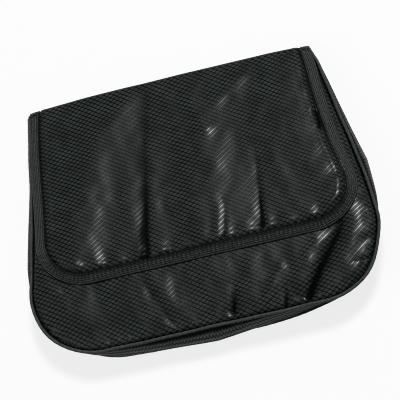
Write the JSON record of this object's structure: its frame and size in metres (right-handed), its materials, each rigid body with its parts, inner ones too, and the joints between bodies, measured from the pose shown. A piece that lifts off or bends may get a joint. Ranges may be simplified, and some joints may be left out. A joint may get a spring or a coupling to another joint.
{
  "type": "walker carry pouch",
  "caption": "Soft flat pouch with a flared body, piped gusset and a bound flap folded over the mouth, with hook-and-loop straps behind.",
  "frame": {"origin": "centre of the bounding box in X and Y, on the table under the pouch as it lies on its back", "axes": "+X across the pouch, +Y up the pouch from its rounded bottom to its folded top, +Z out of the front panel and flap"},
  "size_m": [0.3956, 0.3002, 0.0484],
  "materials": {
    "ripstop": "coated diamond ripstop nylon, slight sheen",
    "plain_cloth": "plain woven nylon, matt",
    "edge_tape": "woven polypropylene binding tape",
    "piping_cover": "nylon cloth over cord",
    "seam_tape": "thin woven seam tape",
    "lining_cloth": "plain coated nylon",
    "loop_tape": "soft loop pile",
    "hook_tape": "stiff moulded hooks",
    "webbing": "ribbed nylon webbing"
  },
  "bodies": {
    "pouch": {"back_panel": "ripstop", "front_panel": "ripstop", "gusset": "plain_cloth", "back_piping": "piping_cover", "front_piping": "piping_cover", "back_seam_binding": "seam_tape", "front_seam_binding": "seam_tape", "mouth_binding": "edge_tape", "flap_seam_tape": "seam_tape", "closure_loop_left": "loop_tape", "closure_loop_right": "loop_tape", "strap_anchor_left": "webbing", "strap_loop_left": "loop_tape", "strap_anchor_centre": "webbing", "strap_loop_centre": "loop_tape", "strap_anchor_right": "webbing", "strap_loop_right": "loop_tape"},
    "spine": {"spine_panel": "ripstop", "spine_lining": "lining_cloth", "spine_edge_bindings": "edge_tape"},
    "flap": {"flap_panel": "ripstop", "flap_lining": "lining_cloth", "flap_binding": "edge_tape", "closure_hook_left": "hook_tape", "closure_hook_right": "hook_tape"},
    "strap_left": {"strap_web_left": "webbing", "strap_hook_left": "hook_tape"},
    "strap_centre": {"strap_web_centre": "webbing", "strap_hook_centre": "hook_tape"},
    "strap_right": {"strap_web_right": "webbing", "strap_hook_right": "hook_tape"}
  },
  "joints": [
    {"name": "flap_fold", "type": "hinge", "parent": "spine", "child": "flap", "pos_m": [0, 0.14868, 0.02982], "axis": [-1, 0, 0], "range_deg": [0, 80]},
    {"name": "spine_fold", "type": "hinge", "parent": "pouch", "child": "spine", "pos_m": [0, 0.14868, 0.00455], "axis": [-1, 0, 0], "range_deg": [0, 90]},
    {"name": "strap_left_peel", "type": "hinge", "parent": "pouch", "child": "strap_left", "pos_m": [-0.105, 0.13292, 0.00175], "axis": [1, 0, 0], "range_deg": [0, 180]},
    {"name": "strap_centre_peel", "type": "hinge", "parent": "pouch", "child": "strap_centre", "pos_m": [0, 0.13292, 0.00175], "axis": [1, 0, 0], "range_deg": [0, 180]},
    {"name": "strap_right_peel", "type": "hinge", "parent": "pouch", "child": "strap_right", "pos_m": [0.105, 0.13292, 0.00175], "axis": [1, 0, 0], "range_deg": [0, 180]}
  ],
  "couplings": [
    {"joint": "spine_fold", "follows": "flap_fold", "ratio": 1.125}
  ]
}
